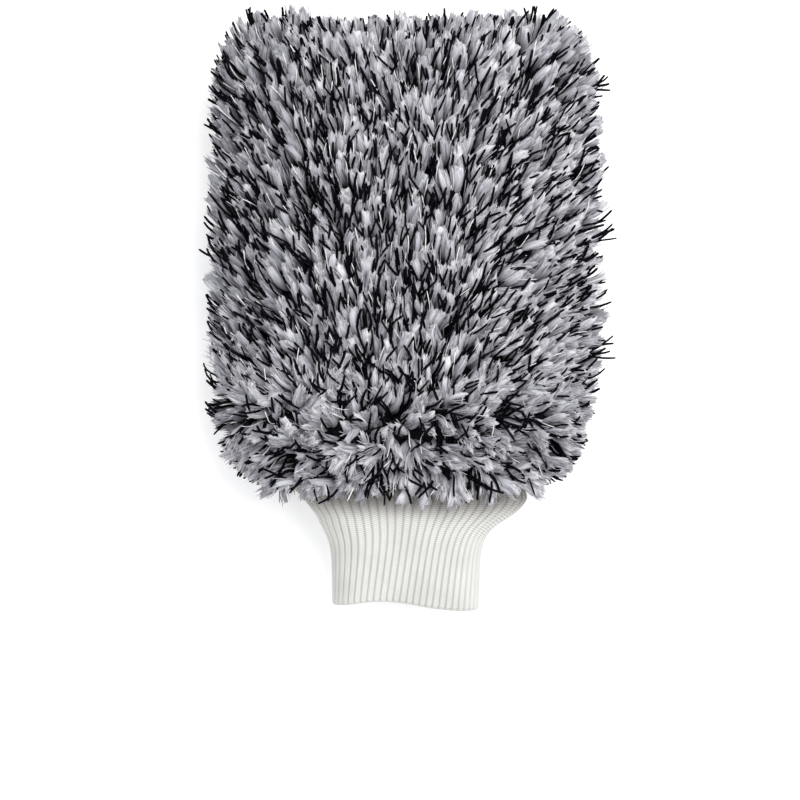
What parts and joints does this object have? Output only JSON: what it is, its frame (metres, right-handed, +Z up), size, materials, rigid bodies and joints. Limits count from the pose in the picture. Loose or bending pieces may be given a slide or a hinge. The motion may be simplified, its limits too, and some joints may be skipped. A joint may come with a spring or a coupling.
{
  "type": "wash mitt",
  "caption": "Plush two-panel washing mitt with long combed pile, a lining bag for the hand and a ribbed knit wrist cuff that folds where it meets the pouch.",
  "frame": {"origin": "centre of the footprint on the surface the mitt rests on", "axes": "+Z up from the resting surface through the front panel, +Y from the wrist to the fingertips, +X across the palm"},
  "size_m": [0.194, 0.3, 0.066],
  "materials": {
    "pile_grey": "soft split-fibre microfibre locks, matt with a faint sheen",
    "pile_black": "twisted black cut yarn, satin",
    "pile_white": "thin bright white yarn, silky",
    "ground_cloth": "tight knitted ground cloth, matt",
    "lining_mesh": "thin knitted lining, matt",
    "seam_thread": "overlocked polyester thread",
    "rib_knit": "white ribbed knit, matt",
    "elastic_thread": "natural elastic thread"
  },
  "bodies": {
    "pouch": {"front_pile": "pile_grey", "back_pile": "pile_grey", "front_shell": "ground_cloth", "back_shell": "ground_cloth", "front_lining": "lining_mesh", "back_lining": "lining_mesh", "shell_seam": "seam_thread", "lining_seam": "seam_thread", "cuff_seam": "seam_thread", "cuff_neck": "rib_knit"},
    "cuff": {"cuff_band": "rib_knit", "cuff_elastics": "elastic_thread"}
  },
  "joints": [
    {"name": "cuff_fold", "type": "hinge", "parent": "pouch", "child": "cuff", "pos_m": [0, -0.1, 0.033], "axis": [-1, 0, 0], "range_deg": [-12, 70], "stiffness_Nm_per_rad": 0.02, "deforming": ["cuff_neck"]}
  ]
}
